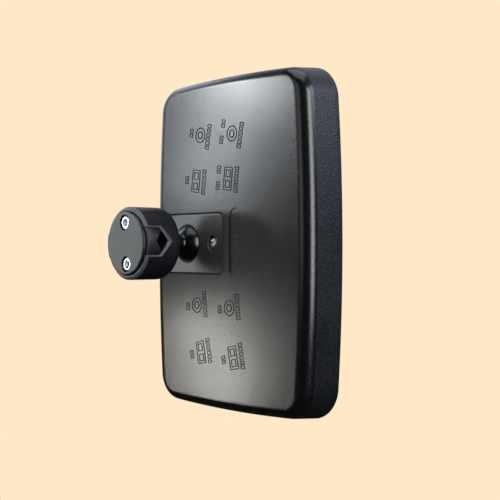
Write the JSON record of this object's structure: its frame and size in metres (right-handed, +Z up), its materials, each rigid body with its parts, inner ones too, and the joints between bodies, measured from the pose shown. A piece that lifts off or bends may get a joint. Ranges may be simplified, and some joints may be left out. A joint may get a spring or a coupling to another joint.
{
  "type": "convex vehicle mirror head",
  "caption": "Convex rear-view mirror head in a dished plastic housing, on a ball joint with a round two-part clamp for a tube.",
  "frame": {"origin": "on the axis of the clamped tube, at the middle of the clamp", "axes": "+Y out of the back of the head along the ball stud, -Y the way the glass looks, +Z up along the head's height, X across the head"},
  "size_m": [0.1812, 0.0924, 0.252],
  "materials": {
    "housing_plastic": "black polypropylene with a fine moulded grain, satin",
    "bezel_plastic": "black plastic with a fine grain",
    "seal_rubber": "black rubber, matt",
    "mirror_glass": "silvered convex glass, polished",
    "foam": "closed-cell adhesive foam",
    "inner_plastic": "glass-filled nylon, dull black",
    "zinc_steel": "bright zinc plate",
    "plate_plastic": "black plastic with a fine grain, satin",
    "acetal": "natural acetal, smooth",
    "coated_steel": "black coated steel, semi-gloss",
    "clamp_plastic": "glass-filled nylon, satin black",
    "cap_plastic": "glass-filled nylon, satin grey-black"
  },
  "bodies": {
    "clamp": {"clamp_body": "clamp_plastic", "clamp_nuts": "zinc_steel", "stud_washer": "zinc_steel"},
    "stud": {"ball_stud": "coated_steel", "stud_nut": "zinc_steel"},
    "cup": {"bearing_cup": "acetal"},
    "head": {"rear_housing": "housing_plastic", "front_bezel": "bezel_plastic", "glass_seal": "seal_rubber", "mirror_glass": "mirror_glass", "foam_pad": "foam", "backing_plate": "inner_plastic", "backing_screws": "zinc_steel", "cover_plate": "plate_plastic", "plate_screw": "zinc_steel", "plate_nut": "zinc_steel", "socket_bracket": "inner_plastic", "bracket_screws": "zinc_steel"},
    "cap": {"clamp_cap": "cap_plastic", "clamp_washers": "zinc_steel"},
    "screw_upper": {"clamp_screw_upper": "zinc_steel"},
    "screw_lower": {"clamp_screw_lower": "zinc_steel"}
  },
  "joints": [
    {"name": "head_roll", "type": "hinge", "parent": "clamp", "child": "stud", "pos_m": [0, -0.0485, 0], "axis": [0, 1, 0], "continuous": true},
    {"name": "head_pan", "type": "hinge", "parent": "stud", "child": "cup", "pos_m": [0, -0.0485, 0], "axis": [0, 0, 1], "range_deg": [-20, 20]},
    {"name": "head_tilt", "type": "hinge", "parent": "cup", "child": "head", "pos_m": [0, -0.0485, 0], "axis": [1, 0, 0], "range_deg": [-20, 20]},
    {"name": "cap_lift", "type": "slide", "parent": "clamp", "child": "cap", "axis": [0, 1, 0], "range_m": [0, 0.011]},
    {"name": "screw_upper_turn", "type": "hinge", "parent": "cap", "child": "screw_upper", "pos_m": [0.00107, 0, 0.01536], "axis": [0, 1, 0], "range_deg": [0, 3960]},
    {"name": "screw_lower_turn", "type": "hinge", "parent": "cap", "child": "screw_lower", "pos_m": [-0.00107, 0, -0.01536], "axis": [0, 1, 0], "range_deg": [0, 3960]}
  ],
  "couplings": [
    {"joint": "screw_upper_turn", "follows": "cap_lift", "rad_per_m": 6283},
    {"joint": "screw_lower_turn", "follows": "cap_lift", "rad_per_m": 6283}
  ]
}
